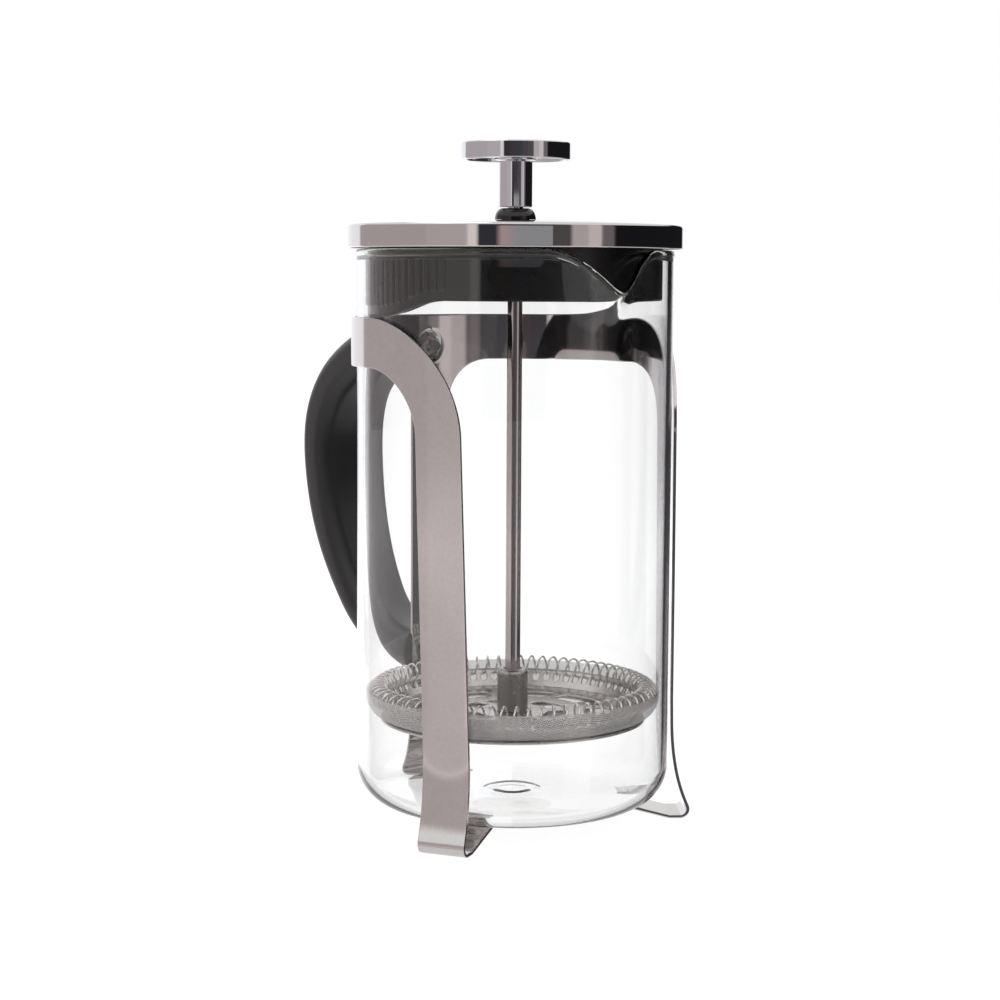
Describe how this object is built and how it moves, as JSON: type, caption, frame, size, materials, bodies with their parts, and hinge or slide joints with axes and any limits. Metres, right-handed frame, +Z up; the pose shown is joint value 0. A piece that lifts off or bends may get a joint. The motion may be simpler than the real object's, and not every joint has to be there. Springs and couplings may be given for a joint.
{
  "type": "french press",
  "caption": "Coffee press: glass beaker with a pouring spout in a stamped steel frame with a plastic handle, a domed lid, and a plunger with a coil-edged filter.",
  "frame": {"origin": "on the floor, at the centre of the bounding box; the beaker's upright axis is at x = 0.0319 m, y = 0", "axes": "+Z up along the beaker's axis, +X towards the spout, the handle towards -X"},
  "size_m": [0.1766, 0.1056, 0.2151],
  "materials": {
    "stamped_steel": "satin polished stainless strip",
    "polished_lid_steel": "mirror polished stainless",
    "knob_chrome": "bright chrome",
    "bright_steel": "bright drawn stainless",
    "pressed_filter_steel": "bright pressed stainless sheet",
    "woven_steel": "fine woven stainless gauze",
    "black_plastic": "matte moulded black",
    "borosilicate_glass": "clear, faintly green at the edges"
  },
  "bodies": {
    "frame_and_handle": {"frame": "stamped_steel", "handle": "black_plastic", "handle_screw_upper": "bright_steel", "handle_screw_lower": "bright_steel"},
    "beaker": {"beaker": "borosilicate_glass"},
    "bush": {"rod_bush": "black_plastic", "bush_nut": "black_plastic"},
    "lid": {"lid_shell": "polished_lid_steel", "lid_liner": "black_plastic"},
    "plunger": {"rod": "bright_steel", "rod_coupling": "bright_steel"},
    "knob": {"knob_cap": "knob_chrome", "knob_stem": "knob_chrome"},
    "filter": {"cross_plate": "pressed_filter_steel", "filter_stud": "bright_steel", "filter_mesh": "woven_steel", "spiral_plate": "pressed_filter_steel", "filter_spring": "bright_steel"}
  },
  "joints": [
    {"name": "beaker_lift", "type": "slide", "parent": "frame_and_handle", "child": "beaker", "axis": [0, 0, 1], "range_m": [0, 0.17]},
    {"name": "lid_lift", "type": "slide", "parent": "beaker", "child": "bush", "axis": [0, 0, 1], "range_m": [0, 0.17]},
    {"name": "lid_turn", "type": "hinge", "parent": "bush", "child": "lid", "pos_m": [0.0319, 0, 0.186], "axis": [0, 0, 1], "continuous": true},
    {"name": "plunger_press", "type": "slide", "parent": "bush", "child": "plunger", "axis": [0, 0, 1], "range_m": [0, 0.11]},
    {"name": "knob_turn", "type": "hinge", "parent": "plunger", "child": "knob", "pos_m": [0.0319, 0, 0.2], "axis": [0, 0, 1], "continuous": true},
    {"name": "filter_turn", "type": "hinge", "parent": "plunger", "child": "filter", "pos_m": [0.0319, 0, 0.04], "axis": [0, 0, 1], "continuous": true}
  ]
}
